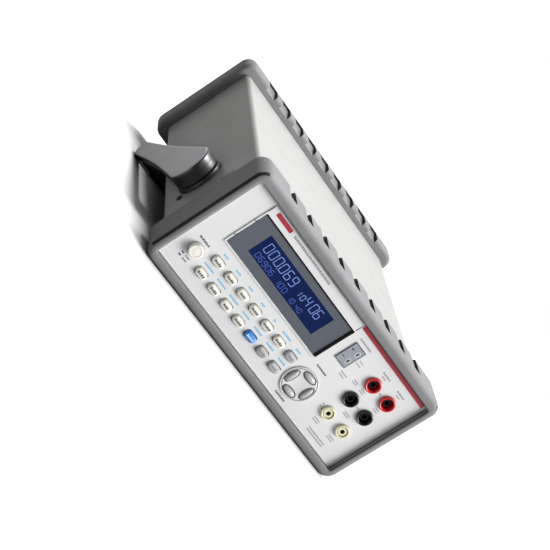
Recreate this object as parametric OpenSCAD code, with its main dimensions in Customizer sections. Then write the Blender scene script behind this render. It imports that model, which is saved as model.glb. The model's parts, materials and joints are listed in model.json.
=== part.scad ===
// Bench multimeter: half-rack case, two soft bumpers and a turning carry handle.
// Each part is drawn square to the case: +X right, +Y from the front to the rear, +Z up,
// with the front bumper's face at Y = 0 and the undersides of the bumpers at Z = 0.
// on_bench() then stands the whole unit on the bench as it rests: on the lower edge of
// the front bumper and on the stowed handle, with its rear a little raised.
// All lengths are in millimetres.

/* [Case] */
// Width of the case sleeve
case_w = 220; // [216:1:224]
// Height of the case sleeve
case_h = 88; // [86:1:90]
// Wall thickness of the sleeve
case_wall = 1.6; // [1.2:0.1:2]
// Outer corner radius of the sleeve
case_r = 4; // [3:0.5:5]
// Depth of the whole unit over both bumpers
unit_d = 305; // [300:1:315]

/* [Bumpers] */
// Outer width of both bumpers
bumper_w = 236; // [234:1:236.6]
// Outer height of both bumpers
bumper_h = 107; // [106:0.5:108]
// Depth of the front bumper along the case
front_bumper_d = 39; // [36:1:42]
// Depth of the rear bumper along the case
rear_bumper_d = 24.6; // [24:0.2:28]
// Corner radius of the bumpers seen from the front
bumper_corner_r = 10; // [8:0.5:12]
// Radius along the bumpers' long edges
bumper_edge_r = 4; // [3.5:0.5:5]
// Grooves along each long side of a bumper
groove_count = 9; // [5:2:9]
// Spacing of the grooves
groove_pitch = 20.8; // [20:0.1:21.5]
// Depth of a groove below the bumper's long side
groove_depth = 4.6; // [3:0.1:5]
// Width of a groove in the front bumper
front_groove_w = 7.6; // [5:0.1:9]
// Width of a groove in the rear bumper
rear_groove_w = 12.3; // [10:0.1:14]
// Length of a groove in the front bumper, from its free edge
front_groove_l = 28; // [20:0.5:32]
// Length of a groove in the rear bumper, from its free edge
rear_groove_l = 17.6; // [12:0.2:19]
// How much shallower a rear groove gets towards its closed end
rear_groove_rise = 2.4; // [0:0.1:3]

/* [Handle] */
// Outer width over both handle arms
handle_w = 252.8; // [252:0.2:256]
// Distance of the pivot axis behind the front face
pivot_y = 97; // [96:0.5:98]
// Height of the pivot axis above the bumpers' undersides
pivot_z = 45; // [44:0.5:46]
// Radius of the round hub at the end of an arm
hub_r = 18.5; // [17:0.5:20]
// Distance from the pivot axis to the centre of the grip bar
grip_reach = 123; // [122.5:0.5:124]
// Radius of the grip bar
grip_r = 8.75; // [8:0.25:8.75]
// Angle of the stowed handle below the line straight to the rear
stow_angle = 22.8; // [22:0.2:24]
// Thickness of an arm
arm_t = 7.8; // [7:0.2:8]

/* [Front panel] */
// Depth of the panel face behind the bumper's face
panel_recess = 5; // [4:0.5:6]
// Thickness of the panel moulding
panel_t = 2.5; // [2:0.1:2.6]

/* [Display] */
// Middle of the display window across the panel
window_x = -32.4; // [-34:0.2:-31]
// Middle of the display window's height
window_z = 69.6; // [69:0.2:70]
// Width of the display window
window_w = 112.6; // [108:0.2:113]
// Height of the display window
window_h = 35.6; // [34:0.2:36]
// Width of the visible display glass
glass_w = 81; // [76:1:84]
// Height of the visible display glass
glass_h = 20; // [18:1:22]

/* [Keys] */
// Number of keys in each of the two rows
key_count = 7; // [7:1:7]
// Middle of the leftmost key
key_x0 = -78.2; // [-79:0.1:-77.5]
// Spacing of the keys
key_pitch = 15.45; // [15.2:0.05:15.6]
// Height of the upper row
upper_key_z = 37.8; // [37:0.1:38.5]
// Height of the lower row
lower_key_z = 23; // [21.5:0.1:23.5]
// Width of a key cap
key_w = 10.6; // [9.6:0.1:11]
// Height of a key cap
key_h = 6.6; // [6:0.1:7]
// Distance that a key stands out of the panel
key_proud = 3; // [2:0.1:3.5]
// Travel of every small key
key_travel = 1; // [0.6:0.1:1]
// Middle of the four-way pad across the panel
pad_x = 37.3; // [36.5:0.1:38]
// Middle of the four-way pad's height
pad_z = 30.4; // [30:0.1:31]
// Radius of the four-way pad's ring
pad_r = 14.6; // [14:0.1:15]
// Middle of the round power button across the panel
power_x = -95; // [-98:0.5:-94]
// Middle of the power button's height
power_z = 30.5; // [30:0.5:32]
// Radius of the power button
power_r = 5.7; // [5.2:0.1:6]
// Distance that the power button stands out of the panel
power_proud = 6.5; // [5:0.5:7]

/* [Terminals] */
// Middle of the left column of terminals
jack_left_x = 70.3; // [70:0.1:71]
// Spacing of the two columns
jack_col = 19.5; // [19:0.1:20]
// Height of the lowest row of terminals
jack_low_z = 34.6; // [34:0.1:35]
// Spacing of the three rows
jack_row = 20.1; // [19.5:0.1:20.5]
// Outer radius of a terminal's insulator
jack_r = 6.8; // [6.4:0.1:7]
// Radius of the touch-proof well in a terminal
jack_well_r = 4.4; // [4.2:0.1:4.6]
// Radius of the hole for a standard 4 mm test plug
plug_r = 2; // [2:1:2]
// Middle of the thermocouple socket across the panel
tc_x = 39.2; // [38.5:0.1:40]
// Middle of the thermocouple socket's height
tc_z = 74.4; // [74:0.1:75]

/* [Hidden] */
$fn = 48;
fine = 96;
gap = 0.35;                    // running gap around a sliding key
skin = 0.01;                   // overshoot that lets a cut run past a face
half_w = case_w / 2;
base_z = (bumper_h - case_h) / 2;          // underside of the sleeve
mid_z = bumper_h / 2;
sleeve_front = 12;
sleeve_rear = unit_d - 12;
inner_w = case_w - 2 * case_wall;
inner_h = case_h - 2 * case_wall;
rear_bumper_y = unit_d - rear_bumper_d;
panel_w = case_w - 0.6;
panel_h = case_h - 0.6;
panel_y = panel_recess;
panel_back = panel_y + panel_t;
key_front = panel_y - key_proud;
key_flange_y = panel_back + 0.5;           // front of the flange that keeps a key in
key_back = key_flange_y + 1;
mat_y = key_back + key_travel + 0.3;
mat_t = 1.2;
front_board_y = mat_y + mat_t + 0.5;
board_t = 1.6;
jack_x = [jack_left_x, jack_left_x + jack_col];
jack_z = [jack_low_z + 2 * jack_row, jack_low_z + jack_row, jack_low_z];
jack_front = panel_y - 2.5;
jack_back = 32;
contact_front = 9.5;
contact_r = 3;
pad_key_offset = 9.4;
pad_key_long = 12.6;
pad_key_short = 5.4;
pad_flange_long = 9.4;
power_travel = 3;
rod_r = 2.5;
rod_end = 44;
switch_front = 36;
tc_w = 12.4;
tc_h = 19.6;
arm_x = handle_w / 2;                      // outer face of an arm
arm_in = arm_x - arm_t;
base_t = 3.2;                              // thickness of the pivot base's flange
base_r = 19.4;
boss_r = 12;
boss_l = 6.5;
hub_in = half_w + base_t + 0.4;            // inner face of the hub
hub_run = 0.06;                            // running clearance on the pivot boss
tray_z = base_z + case_wall + 0.4;
tray_t = 1.2;
standoff_h = 7;
board_z = tray_z + tray_t + standoff_h;
board_top = board_z + board_t;
rear_panel_y = sleeve_rear - 4;
rear_panel_t = 2;
rear_face = rear_panel_y + rear_panel_t;
inlet_x = -76;
inlet_z = 44;
drawer_z = inlet_z + 17;
drawer_w = 20;
drawer_h = 8.6;
fuse_r = 2.6;
usb_x = -32;
usb_z = 38;
bnc_x = [4, 32];
bnc_z = 38;
cover_x = 71;
cover_z = 44;

// Resting tilt: the line under the front bumper's lower edge and under the grip bar is level.
grip_y = pivot_y + grip_reach * cos(stow_angle);
grip_z = pivot_z - grip_reach * sin(stow_angle);
run_y = grip_y - bumper_edge_r;
run_z = grip_z - bumper_edge_r;
tilt = asin((grip_r - bumper_edge_r) / norm([run_y, run_z])) - atan2(run_z, run_y);
rest_lift = bumper_edge_r * (1 - sin(tilt) - cos(tilt));
front_reach = bumper_edge_r * (cos(tilt) - 1) - (bumper_h - bumper_edge_r) * sin(tilt);
rear_reach = (unit_d - bumper_edge_r) * cos(tilt) - bumper_edge_r * (sin(tilt) - 1);
rest_shift = -(front_reach + rear_reach) / 2;

// Stands a part that is drawn square to the case on the bench.
module on_bench() {
    translate([0, rest_shift, rest_lift]) rotate([tilt, 0, 0]) children();
}

// Rectangle with round corners, centred.
module round_rect(w, h, r) {
    square([w - 2 * r, h], center = true);
    square([w, h - 2 * r], center = true);
    for (x = [-1, 1], z = [-1, 1])
        translate([x * (w / 2 - r), z * (h / 2 - r)]) circle(r);
}

// Extrudes a shape drawn in the panel's plane (X across, Z up) from y0 to y1.
module along_y(y0, y1) {
    translate([0, y1, 0]) rotate([90, 0, 0]) linear_extrude(y1 - y0) children();
}

// Extrudes a shape drawn in the side plane (Y to the rear, Z up) from x0 to x1.
module along_x(x0, x1) {
    translate([x0, 0, 0]) rotate([90, 0, 90]) linear_extrude(x1 - x0) children();
}

// Block with round corners seen from the front, placed by its middle in X and Z.
module panel_block(x, z, w, h, r, y0, y1) {
    along_y(y0, y1) translate([x, z]) round_rect(w, h, r);
}

// Round rod along Y.
module rod_y(x, z, r, y0, y1) {
    translate([x, y1, z]) rotate([90, 0, 0]) cylinder(h = y1 - y0, r = r, $fn = fine);
}

// Round rod along X.
module rod_x(y, z, r, x0, x1) {
    translate([x0, y, z]) rotate([0, 90, 0]) cylinder(h = x1 - x0, r = r, $fn = fine);
}

module block(x0, x1, y0, y1, z0, z1) {
    translate([x0, y0, z0]) cube([x1 - x0, y1 - y0, z1 - z0]);
}

// ---- Case and bumpers ----

module case_sleeve() on_bench() color([0.86, 0.86, 0.84]) difference() {
    panel_block(0, mid_z, case_w, case_h, case_r, sleeve_front, sleeve_rear);
    panel_block(0, mid_z, inner_w, inner_h, case_r - case_wall,
        sleeve_front - 1, sleeve_rear + 1);
    for (side = [-1, 1])
        rod_x(pivot_y, pivot_z, 3.2, side * half_w - 5, side * half_w + 5);
}

// Soft ring around the case from y0 to y1, open at both ends.
module bumper_ring(y0, y1) {
    difference() {
        intersection() {
            panel_block(0, mid_z, bumper_w, bumper_h, bumper_corner_r, y0, y1);
            along_x(-bumper_w, bumper_w) translate([(y0 + y1) / 2, mid_z])
                round_rect(y1 - y0, bumper_h, bumper_edge_r);
        }
        panel_block(0, mid_z, case_w, case_h, case_r, y0 - 1, y1 + 1);
    }
}

// Cutters for the grooves on the top and the underside. They start at y_start, as deep as
// groove_depth at y_free, and their floors climb by slope degrees along Y.
module grooves(groove_w, y_start, y_free, length, slope) {
    for (i = [0 : groove_count - 1], side = [0, 1])
        translate([(i - (groove_count - 1) / 2) * groove_pitch - groove_w / 2, y_free, mid_z])
            mirror([0, 0, side]) translate([0, 0, bumper_h / 2 - groove_depth])
                rotate([slope, 0, 0]) translate([0, y_start - y_free, 0])
                    cube([groove_w, length, groove_depth + 3]);
}

module front_bumper() on_bench() color([0.5, 0.5, 0.51]) difference() {
    bumper_ring(0, front_bumper_d);
    grooves(front_groove_w, front_bumper_d - front_groove_l, front_bumper_d,
        front_groove_l + 1, 0);
}

module rear_bumper() on_bench() color([0.5, 0.5, 0.51]) difference() {
    bumper_ring(rear_bumper_y, unit_d);
    grooves(rear_groove_w, rear_bumper_y - 1, rear_bumper_y, rear_groove_l + 1,
        atan(rear_groove_rise / rear_groove_l));
}

// ---- Front panel ----

module key_holes() {
    for (i = [0 : key_count - 1], z = [upper_key_z, lower_key_z])
        translate([key_x0 + i * key_pitch, z])
            round_rect(key_w + 2 * gap, key_h + 2 * gap, 2.4);
}

module front_bezel() on_bench() color([0.9, 0.9, 0.9]) difference() {
    union() {
        panel_block(0, mid_z, panel_w, panel_h, case_r, panel_y, sleeve_front);
        panel_block(0, mid_z, inner_w - 0.4, inner_h - 0.4, 2, sleeve_front, 22);
    }
    panel_block(0, mid_z, inner_w - 6, inner_h - 6, 1, panel_back, 23);
    along_y(panel_y - 1, panel_back + 1) {
        key_holes();
        translate([window_x, window_z]) round_rect(window_w, window_h, 1);
        translate([pad_x, pad_z]) circle(pad_r - 1.6, $fn = fine);
        translate([power_x, power_z]) circle(power_r + gap, $fn = fine);
        for (x = jack_x, z = jack_z)
            translate([x, z]) circle(jack_r, $fn = fine);
        translate([tc_x, tc_z]) square([tc_w, tc_h], center = true);
    }
}

module display_surround() on_bench() color([0.93, 0.93, 0.93]) difference() {
    surround_top = panel_h + (bumper_h - panel_h) / 2 - 1;
    surround_low = window_z - window_h / 2 - 1.2;
    block(window_x - window_w / 2 - 1.4, window_x + window_w / 2 + 1.4,
        panel_y - 0.9, panel_y, surround_low, surround_top);
    panel_block(window_x, window_z, window_w, window_h, 1, panel_y - 2, panel_y + 1);
}

module display_window() on_bench() color([0.4, 0.42, 0.46])
    panel_block(window_x, window_z, window_w - 0.1, window_h - 0.1, 1,
        panel_y + 0.5, panel_back - 0.2);

module display_module() on_bench() color([0.07, 0.12, 0.4]) {
    module_y = panel_back + 0.4;
    panel_block(window_x, window_z + 0.4, glass_w, glass_h, 0.6, module_y, module_y + 1);
    panel_block(window_x, window_z + 0.4, glass_w + 10, glass_h + 10, 1,
        module_y + 1, front_board_y);
}

module accent_strip() on_bench() color([0.78, 0.18, 0.24])
    block(25.6, 108, panel_y - 0.6, panel_y, 93.4, 96.2);

// Rubber mat with one contact dome behind each key.
module keypad_mat() on_bench() color([0.62, 0.64, 0.66]) {
    block(key_x0 - 8, pad_x + pad_r, mat_y, mat_y + mat_t, 14.5, 46.5);
    for (i = [0 : key_count - 1], z = [upper_key_z, lower_key_z])
        rod_y(key_x0 + i * key_pitch, z, 2.4, mat_y + mat_t, front_board_y);
}

// Lens-shaped block of the pad from y0 to y1: two equal arcs that meet at its tips.
module pad_lens(turn, grow, y0, y1) {
    long = pad_key_long + grow;
    short = pad_key_short + grow;
    bow = (long * long + short * short) / (4 * short);
    translate([pad_x, 0, pad_z]) rotate([0, -turn, 0]) translate([0, 0, pad_key_offset])
        intersection() {
            rod_y(0, bow - short / 2, bow, y0, y1);
            rod_y(0, short / 2 - bow, bow, y0, y1);
        }
}

// Round face of the four-way pad, glued into the panel.
module nav_ring() on_bench() color([0.84, 0.84, 0.84]) difference() {
    union() {
        rod_y(pad_x, pad_z, pad_r, panel_y - 1.2, panel_y);
        rod_y(pad_x, pad_z, pad_r - 1.6, panel_y, panel_back);
    }
    for (turn = [0 : 90 : 270])
        pad_lens(turn, 2 * gap, panel_y - 2, panel_back + 1);
}

// ---- Keys ----

// A key cap with the flange that keeps it behind the panel.
module key(x, z) {
    panel_block(x, z, key_w, key_h, 2.2, key_front, key_flange_y);
    panel_block(x, z, key_w + 1.8, key_h + 1.8, 2.6, key_flange_y, key_back);
}

module upper_key(i, tint) on_bench() color(tint)
    key(key_x0 + (i - 1) * key_pitch, upper_key_z);

module lower_key(i, tint) on_bench() color(tint)
    key(key_x0 + (i - 1) * key_pitch, lower_key_z);

cream = [0.92, 0.91, 0.87];
grey = [0.62, 0.63, 0.64];
blue = [0.18, 0.44, 0.75];

module nav_key(turn) on_bench() color(grey) {
    pad_lens(turn, 0, panel_y - 2.6, key_flange_y);
    along_y(key_flange_y, key_back) translate([pad_x, pad_z]) rotate(turn)
        translate([0, pad_key_offset]) round_rect(pad_flange_long, pad_key_short + 2.4, 1);
}

module power_button() on_bench() color(cream) {
    rod_y(power_x, power_z, power_r, panel_y - power_proud, panel_back + 1);
    rod_y(power_x, power_z, rod_r, panel_back + 1, rod_end);
}

// ---- Terminals ----

module jack(col, row, tint) on_bench() color(tint) difference() {
    x = jack_x[col];
    z = jack_z[row];
    union() {
        rod_y(x, z, jack_r, jack_front, panel_back);
        rod_y(x, z, jack_r - 0.6, panel_back, jack_back);
    }
    rod_y(x, z, jack_well_r, jack_front - 1, jack_back - 6);
    rod_y(x, z, contact_r, jack_back - 6 - skin, jack_back + 1);
}

module jack_contacts() on_bench() color([0.85, 0.7, 0.35])
    for (x = jack_x, z = jack_z) difference() {
        rod_y(x, z, contact_r, contact_front, jack_back + 6);
        rod_y(x, z, plug_r, contact_front - 1, jack_back - 4);
    }

module tc_socket() on_bench() color([0.68, 0.72, 0.76]) difference() {
    block(tc_x - tc_w / 2, tc_x + tc_w / 2, panel_y - 0.8, 26,
        tc_z - tc_h / 2, tc_z + tc_h / 2);
    for (dz = [-4, 4])
        block(tc_x + 1.3, tc_x + 4.2, panel_y - 2, 20, tc_z + dz - 2.6, tc_z + dz + 2.6);
}

module tc_contacts() on_bench() color([0.8, 0.68, 0.4])
    for (dz = [-4, 4], dx = [1.3, 3.7])
        block(tc_x + dx, tc_x + dx + 0.5, 9, 20, tc_z + dz - 2, tc_z + dz + 2);

// ---- Inside ----

module standoff_places() {
    for (x = [-96, 0, 96], y = [48, 268]) translate([x, y]) children();
}

module chassis_tray() on_bench() color([0.75, 0.76, 0.77]) {
    tray_half = inner_w / 2 - 1;
    block(-tray_half, tray_half, 30, 284, tray_z, tray_z + tray_t);
    for (x = [-tray_half, tray_half - tray_t])
        block(x, x + tray_t, 118, 284, tray_z + tray_t, tray_z + 16);
    translate([0, 0, tray_z + tray_t]) standoff_places()
        cylinder(h = standoff_h, r = 3);
}

module main_board() on_bench() color([0.1, 0.4, 0.2])
    block(-104, 104, 36, 278, board_z, board_top);

module front_board() on_bench() color([0.1, 0.4, 0.2]) difference() {
    block(-104, 54, front_board_y, front_board_y + board_t, board_top + 1, 92);
    block(tc_x - tc_w / 2 - 1, 55, front_board_y - 1, front_board_y + 3,
        tc_z - tc_h / 2 - 1, 94);
    rod_y(power_x, power_z, rod_r + 1, front_board_y - 1, front_board_y + 3);
}

core_x = 66;
core_y = 226;
core_z = board_top;

module transformer_core() on_bench() color([0.35, 0.35, 0.37]) difference() {
    block(core_x - 30, core_x + 30, core_y - 15, core_y + 15, core_z, core_z + 50);
    for (dz = [9, 31])
        block(core_x - 20, core_x + 20, core_y - 16, core_y + 16,
            core_z + dz, core_z + dz + 10);
}

// Two wound lobes around the core's middle leg, through its two windows.
module transformer_coil() on_bench() color([0.85, 0.6, 0.2]) difference() {
    block(core_x - 19.5, core_x + 19.5, core_y - 25, core_y + 25,
        core_z + 9.5, core_z + 40.5);
    block(core_x - 21, core_x + 21, core_y - 15.2, core_y + 15.2,
        core_z + 18.8, core_z + 31.2);
}

module analog_shield() on_bench() color([0.8, 0.8, 0.82]) difference() {
    block(-12, 96, 60, 150, board_top, board_top + 26);
    block(-11, 95, 61, 149, board_top - 1, board_top + 25);
}

module power_switch() on_bench() color([0.15, 0.15, 0.16]) difference() {
    block(power_x - 7, power_x + 7, switch_front, switch_front + 24,
        board_top, power_z + 7);
    rod_y(power_x, power_z, rod_r + 0.08, switch_front - 1, rod_end + power_travel + 3);
}

// ---- Rear ----

screw_spots = [[-100, 84], [100, 84], [-100, 22], [100, 22]];
cover_spots = [[cover_x - 23, cover_z], [cover_x + 23, cover_z]];
screw_r = 1.6;

module rear_panel() on_bench() color([0.8, 0.8, 0.79]) difference() {
    panel_block(0, mid_z, inner_w - 0.4, inner_h - 0.4, 2, rear_panel_y, rear_face);
    along_y(rear_panel_y - 1, rear_face + 1) {
        translate([inlet_x, inlet_z + 8]) square([26, 38], center = true);
        translate([usb_x, usb_z]) square([12, 11], center = true);
        translate([cover_x, cover_z]) square([38, 12], center = true);
        for (x = bnc_x) translate([x, bnc_z]) circle(6, $fn = fine);
        for (spot = concat(screw_spots, cover_spots)) translate(spot) circle(screw_r);
        for (i = [0 : 11], z = [70, 84])
            translate([-34 + i * 8, z]) round_rect(3, 10, 1.4);
    }
}

module mains_inlet() on_bench() color([0.12, 0.12, 0.13]) difference() {
    union() {
        panel_block(inlet_x, inlet_z + 8, 32, 44, 2, rear_face, rear_face + 2);
        panel_block(inlet_x, inlet_z + 8, 26, 38, 1, rear_face - 30, rear_face);
    }
    panel_block(inlet_x, inlet_z, 24.4, 16.4, 2.5, rear_face - 15, rear_face + 3);
    block(inlet_x - drawer_w / 2 - gap, inlet_x + drawer_w / 2 + gap,
        rear_face - 27, rear_face + 3,
        drawer_z - drawer_h / 2 - gap, drawer_z + drawer_h / 2 + gap);
}

// Earth blade above, line and neutral below, all standing on the inlet's floor.
module inlet_pins() on_bench() color([0.78, 0.79, 0.8])
    for (pin = [[0, 2], [-7, -2], [7, -2]])
        block(inlet_x + pin[0] - 1, inlet_x + pin[0] + 1,
            rear_face - 15, rear_face - 1,
            inlet_z + pin[1] - 2, inlet_z + pin[1] + 2);

module usb_port() on_bench() color([0.78, 0.79, 0.8]) {
    difference() {
        block(usb_x - 6, usb_x + 6, rear_face - 16, rear_face + 0.6, usb_z - 5.5, usb_z + 5.5);
        block(usb_x - 4.3, usb_x + 4.3, rear_face - 10, rear_face + 2, usb_z - 4, usb_z + 4);
    }
    block(usb_x - 2.8, usb_x + 2.8, rear_face - 10, rear_face - 1, usb_z - 1.6, usb_z + 1.6);
}

// Two bayonet sockets, each a shell with two lugs, a hexagon nut and a centre contact.
module trigger_connectors() on_bench() color([0.8, 0.8, 0.82]) for (x = bnc_x) {
    difference() {
        union() {
            rod_y(x, bnc_z, 4.8, rear_face, rear_face + 10);
            rod_y(x, bnc_z, 6, rear_face - 8, rear_face);
            translate([x, rear_face + 2, bnc_z]) rotate([90, 0, 0])
                cylinder(h = 2, r = 8, $fn = 6);
            rod_x(rear_face + 6, bnc_z, 1, x - 5.6, x + 5.6);
        }
        rod_y(x, bnc_z, 4.05, rear_face + 2, rear_face + 11);
    }
    rod_y(x, bnc_z, 2.3, rear_face + 2, rear_face + 8);
}

module interface_cover() on_bench() color([0.75, 0.75, 0.75]) difference() {
    panel_block(cover_x, cover_z, 56, 18, 2, rear_face, rear_face + 1.2);
    along_y(rear_face - 1, rear_face + 3) for (spot = cover_spots)
        translate(spot) circle(screw_r);
}

module rear_screws() on_bench() color([0.7, 0.7, 0.72]) {
    for (spot = screw_spots) {
        rod_y(spot[0], spot[1], 3, rear_face, rear_face + 1.8);
        rod_y(spot[0], spot[1], screw_r, rear_face - 8, rear_face);
    }
    for (spot = cover_spots) {
        rod_y(spot[0], spot[1], 3, rear_face + 1.2, rear_face + 3);
        rod_y(spot[0], spot[1], screw_r, rear_face - 8, rear_face + 1.2);
    }
}

module fuse_drawer() on_bench() color([0.16, 0.16, 0.17]) difference() {
    union() {
        panel_block(inlet_x, drawer_z, drawer_w, drawer_h, 0.8,
            rear_face - 25, rear_face + 2.4);
        panel_block(inlet_x, drawer_z, drawer_w + 3, drawer_h + 1, 1.2,
            rear_face + 2.4, rear_face + 4.4);
    }
    rod_y(inlet_x, drawer_z, fuse_r, rear_face - 26, rear_face - 2);
    block(inlet_x - fuse_r, inlet_x + fuse_r, rear_face - 26, rear_face - 2,
        drawer_z, drawer_z + drawer_h);
}

module mains_fuse() on_bench() color([0.8, 0.82, 0.85])
    rod_y(inlet_x, drawer_z, fuse_r, rear_face - 23, rear_face - 3);

// ---- Handle ----

// Round base on the case's side, with the boss that the hub turns on.
module pivot_base(side) on_bench() color([0.42, 0.42, 0.44]) difference() {
    union() {
        rod_x(pivot_y, pivot_z, base_r, side > 0 ? half_w : -half_w - base_t,
            side > 0 ? half_w + base_t : -half_w);
        rod_x(pivot_y, pivot_z, boss_r, side > 0 ? half_w : -half_w - base_t - boss_l,
            side > 0 ? half_w + base_t + boss_l : -half_w);
    }
    rod_x(pivot_y, pivot_z, 3.2, side * half_w - 20, side * half_w + 20);
    rod_x(pivot_y, pivot_z, 6, side > 0 ? half_w + base_t + 2 : -half_w - 20,
        side > 0 ? half_w + 20 : -half_w - base_t - 2);
}

// Bolt through each base, with its nut inside the case.
module pivot_bolts() on_bench() color([0.7, 0.7, 0.72]) for (side = [-1, 1])
    mirror([side < 0 ? 1 : 0, 0, 0]) {
        rod_x(pivot_y, pivot_z, 3.2, half_w - case_wall - 6, half_w + base_t + 2);
        rod_x(pivot_y, pivot_z, 5.4, half_w + base_t + 2, half_w + base_t + 5);
        translate([half_w - case_wall - 4, pivot_y, pivot_z]) rotate([0, 90, 0])
            difference() {
                cylinder(h = 4, r = 6, $fn = 6);
                translate([0, 0, -1]) cylinder(h = 6, r = 3.2);
            }
    }

// Arm outline in the side plane, pointing along +Y from the pivot at the origin.
arm_half_widths = [[0, 18.3], [30, 14.6], [58, 11.7], [90, 9.8]];

module arm_outline() {
    circle(hub_r, $fn = fine);
    translate([grip_reach, 0]) circle(grip_r, $fn = fine);
    edge = concat(arm_half_widths, [[grip_reach, grip_r]]);
    polygon(concat(edge, [for (i = [len(edge) - 1 : -1 : 0]) [edge[i][0], -edge[i][1]]]));
}

// Everything on the handle is drawn in the side plane with the arm along +Y, then stowed.
module stowed() {
    translate([0, pivot_y, pivot_z]) rotate([-stow_angle, 0, 0]) children();
}

module handle_arm(side) on_bench() stowed() color([0.6, 0.6, 0.62])
    mirror([side < 0 ? 1 : 0, 0, 0]) difference() {
        union() {
            along_x(arm_in, arm_x) arm_outline();
            rod_x(0, 0, hub_r, hub_in, arm_in + skin);
        }
        rod_x(0, 0, boss_r + hub_run, hub_in - 1, half_w + base_t + boss_l + 0.4);
    }

module handle_grip() on_bench() stowed() color([0.4, 0.4, 0.42])
    rod_x(grip_reach, 0, grip_r, -arm_in, arm_in);

case_sleeve();
front_bumper();
rear_bumper();
front_bezel();
display_surround();
display_window();
display_module();
accent_strip();
keypad_mat();
nav_ring();
jack(0, 0, [0.75, 0.12, 0.15]);  // jack_sense_hi
jack(0, 1, [0.05, 0.05, 0.06]);  // jack_sense_lo
jack(1, 0, [0.75, 0.12, 0.15]);  // jack_input_hi
jack(1, 1, [0.05, 0.05, 0.06]);  // jack_input_lo
jack(0, 2, [0.93, 0.9, 0.68]);  // jack_current_low
jack(1, 2, [0.93, 0.9, 0.68]);  // jack_current_high
jack_contacts();
tc_socket();
tc_contacts();
chassis_tray();
main_board();
front_board();
transformer_core();
transformer_coil();
analog_shield();
rear_panel();
mains_inlet();
inlet_pins();
usb_port();
trigger_connectors();
interface_cover();
rear_screws();
pivot_base(-1);  // pivot_base_left
pivot_base(1);  // pivot_base_right
pivot_bolts();
power_switch();
upper_key(1, cream);  // upper_key_1
upper_key(2, cream);  // upper_key_2
upper_key(3, cream);  // upper_key_3
upper_key(4, cream);  // upper_key_4
upper_key(5, cream);  // upper_key_5
upper_key(6, cream);  // upper_key_6
upper_key(7, grey);  // upper_key_7
lower_key(1, cream);  // lower_key_1
lower_key(2, cream);  // lower_key_2
lower_key(3, cream);  // lower_key_3
lower_key(4, cream);  // lower_key_4
lower_key(5, blue);  // lower_key_5
lower_key(6, grey);  // lower_key_6
lower_key(7, grey);  // lower_key_7
nav_key(0);  // nav_key_up
nav_key(180);  // nav_key_down
nav_key(90);  // nav_key_left
nav_key(270);  // nav_key_right
power_button();
handle_arm(-1);  // handle_arm_left
handle_arm(1);  // handle_arm_right
handle_grip();
fuse_drawer();
mains_fuse();
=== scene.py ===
"""Looks of the bench multimeter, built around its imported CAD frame.

Every piece is drawn in millimetres in the unit's own frame: X to the right, Y from the front
bumper's face to the rear, Z up from the bumpers' undersides. UNIT then stands it on the bench.
"""
import json
import math

import bmesh
import bpy
from mathutils import Matrix, Vector


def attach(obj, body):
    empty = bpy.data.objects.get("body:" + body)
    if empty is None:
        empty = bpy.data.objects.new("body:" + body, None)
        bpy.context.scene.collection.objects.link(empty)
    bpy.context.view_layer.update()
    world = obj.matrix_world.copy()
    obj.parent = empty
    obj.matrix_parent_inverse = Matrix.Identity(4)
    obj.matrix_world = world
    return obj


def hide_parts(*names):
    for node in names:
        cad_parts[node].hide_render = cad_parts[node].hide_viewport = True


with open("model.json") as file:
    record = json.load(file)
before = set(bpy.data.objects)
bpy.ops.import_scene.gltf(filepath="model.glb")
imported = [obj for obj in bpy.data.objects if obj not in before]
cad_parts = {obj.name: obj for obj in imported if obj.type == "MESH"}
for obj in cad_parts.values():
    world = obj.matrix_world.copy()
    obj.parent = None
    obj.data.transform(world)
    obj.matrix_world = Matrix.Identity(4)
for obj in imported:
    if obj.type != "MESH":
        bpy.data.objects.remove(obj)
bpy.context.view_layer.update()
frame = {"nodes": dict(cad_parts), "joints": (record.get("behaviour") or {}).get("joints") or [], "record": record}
nodes = frame["nodes"]

MM = 0.001
PIVOT_Y, PIVOT_Z = 97.0, 45.0

# The keys slide straight into the unit, so their axis gives its lean on the bench.
joints = {j["name"]: j for j in frame["joints"]}
push = Vector(joints["power_button_press"]["axis"])
turn = Matrix.Rotation(math.atan2(push.z, push.y), 4, "X")
pivot = Vector(joints["handle_pivot"]["pos_m"])
UNIT = (
    Matrix.Translation(pivot - turn @ Vector((0, PIVOT_Y * MM, PIVOT_Z * MM)))
    @ turn
    @ Matrix.Scale(MM, 4)
)


def unit_box(node):
    """Lowest and highest corner of a CAD node in the unit's own frame, in millimetres."""
    back = UNIT.inverted()
    points = [back @ v.co for v in nodes[node].data.vertices]
    lo = Vector([min(p[i] for p in points) for i in range(3)])
    hi = Vector([max(p[i] for p in points) for i in range(3)])
    return lo, hi


# ---- Materials ----


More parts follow.
